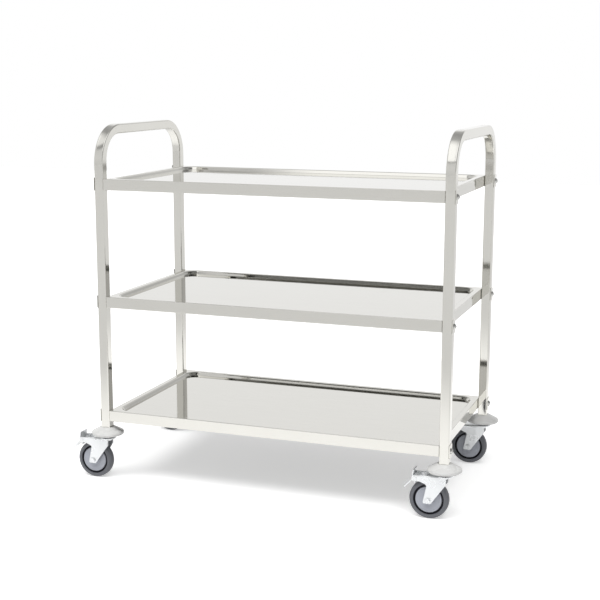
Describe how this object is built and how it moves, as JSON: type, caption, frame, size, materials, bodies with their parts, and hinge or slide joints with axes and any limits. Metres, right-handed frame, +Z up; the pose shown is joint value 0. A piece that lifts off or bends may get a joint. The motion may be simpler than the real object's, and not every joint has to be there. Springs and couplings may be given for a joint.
{
  "type": "serving trolley",
  "caption": "Polished steel serving trolley: stacked tray shelves bolted between bent square-tube end frames with push handles, on swivel castors with bumper discs and foot brakes.",
  "frame": {"origin": "floor level under the middle of the whole trolley's box, castors trailing as in the picture", "axes": "+X along the length towards the right-hand push handle, -Y towards the front where the braked castors are, +Z up"},
  "size_m": [1.0654, 0.551, 0.945],
  "materials": {
    "polished_stainless": "polished stainless steel, nearly mirror bright",
    "stainless_fixings": "plain stainless steel",
    "zinc_steel": "bright zinc-plated steel",
    "bearing_steel": "polished, greased",
    "bumper_plastic": "smooth light grey",
    "cover_plastic": "satin blue-grey",
    "core_plastic": "black moulded",
    "bush_plastic": "plain moulded",
    "tyre_rubber": "matt grey non-marking rubber"
  },
  "bodies": {
    "trolley_frame": {"left_end_frame": "polished_stainless", "right_end_frame": "polished_stainless", "bottom_shelf_tray": "polished_stainless", "bottom_shelf_rim": "polished_stainless", "middle_shelf_tray": "polished_stainless", "middle_shelf_rim": "polished_stainless", "top_shelf_tray": "polished_stainless", "top_shelf_rim": "polished_stainless", "shelf_bolts": "stainless_fixings", "saddle_plates": "stainless_fixings", "shelf_nuts": "stainless_fixings", "foot_plugs": "zinc_steel", "castor_stems": "zinc_steel", "swivel_nuts": "zinc_steel", "front_left_bumper": "bumper_plastic", "front_right_bumper": "bumper_plastic", "back_left_bumper": "bumper_plastic", "back_right_bumper": "bumper_plastic"},
    "front_left_swivel": {"front_left_fork": "zinc_steel", "front_left_bearing_balls": "bearing_steel", "front_left_axle_bolt": "zinc_steel", "front_left_axle_sleeve": "zinc_steel", "front_left_axle_nut": "zinc_steel", "front_left_brake_pin": "zinc_steel"},
    "front_left_wheel": {"front_left_tyre": "tyre_rubber", "front_left_wheel_core": "core_plastic", "front_left_wheel_bush": "bush_plastic", "front_left_hub_covers": "cover_plastic"},
    "front_left_brake": {"front_left_brake_pedal": "zinc_steel"},
    "front_right_swivel": {"front_right_fork": "zinc_steel", "front_right_bearing_balls": "bearing_steel", "front_right_axle_bolt": "zinc_steel", "front_right_axle_sleeve": "zinc_steel", "front_right_axle_nut": "zinc_steel", "front_right_brake_pin": "zinc_steel"},
    "front_right_wheel": {"front_right_tyre": "tyre_rubber", "front_right_wheel_core": "core_plastic", "front_right_wheel_bush": "bush_plastic", "front_right_hub_covers": "cover_plastic"},
    "front_right_brake": {"front_right_brake_pedal": "zinc_steel"},
    "back_left_swivel": {"back_left_fork": "zinc_steel", "back_left_bearing_balls": "bearing_steel", "back_left_axle_bolt": "zinc_steel", "back_left_axle_sleeve": "zinc_steel", "back_left_axle_nut": "zinc_steel"},
    "back_left_wheel": {"back_left_tyre": "tyre_rubber", "back_left_wheel_core": "core_plastic", "back_left_wheel_bush": "bush_plastic", "back_left_hub_covers": "cover_plastic"},
    "back_right_swivel": {"back_right_fork": "zinc_steel", "back_right_bearing_balls": "bearing_steel", "back_right_axle_bolt": "zinc_steel", "back_right_axle_sleeve": "zinc_steel", "back_right_axle_nut": "zinc_steel"},
    "back_right_wheel": {"back_right_tyre": "tyre_rubber", "back_right_wheel_core": "core_plastic", "back_right_wheel_bush": "bush_plastic", "back_right_hub_covers": "cover_plastic"}
  },
  "joints": [
    {"name": "front_left_swivel_turn", "type": "hinge", "parent": "trolley_frame", "child": "front_left_swivel", "pos_m": [-0.43529, -0.2325, 0.113], "axis": [0, 0, 1], "continuous": true},
    {"name": "front_left_wheel_roll", "type": "hinge", "parent": "front_left_swivel", "child": "front_left_wheel", "pos_m": [-0.47179, -0.2325, 0.0495], "axis": [0, 1, 0], "continuous": true},
    {"name": "front_left_brake_press", "type": "hinge", "parent": "front_left_swivel", "child": "front_left_brake", "pos_m": [-0.50479, -0.2325, 0.103], "axis": [0, -1, 0], "range_deg": [0, 22]},
    {"name": "front_right_swivel_turn", "type": "hinge", "parent": "trolley_frame", "child": "front_right_swivel", "pos_m": [0.48971, -0.2325, 0.113], "axis": [0, 0, 1], "continuous": true},
    {"name": "front_right_wheel_roll", "type": "hinge", "parent": "front_right_swivel", "child": "front_right_wheel", "pos_m": [0.45321, -0.2325, 0.0495], "axis": [0, 1, 0], "continuous": true},
    {"name": "front_right_brake_press", "type": "hinge", "parent": "front_right_swivel", "child": "front_right_brake", "pos_m": [0.42021, -0.2325, 0.103], "axis": [0, -1, 0], "range_deg": [0, 22]},
    {"name": "back_left_swivel_turn", "type": "hinge", "parent": "trolley_frame", "child": "back_left_swivel", "pos_m": [-0.43529, 0.2325, 0.113], "axis": [0, 0, 1], "continuous": true},
    {"name": "back_left_wheel_roll", "type": "hinge", "parent": "back_left_swivel", "child": "back_left_wheel", "pos_m": [-0.47179, 0.2325, 0.0495], "axis": [0, 1, 0], "continuous": true},
    {"name": "back_right_swivel_turn", "type": "hinge", "parent": "trolley_frame", "child": "back_right_swivel", "pos_m": [0.48971, 0.2325, 0.113], "axis": [0, 0, 1], "continuous": true},
    {"name": "back_right_wheel_roll", "type": "hinge", "parent": "back_right_swivel", "child": "back_right_wheel", "pos_m": [0.45321, 0.2325, 0.0495], "axis": [0, 1, 0], "continuous": true}
  ]
}
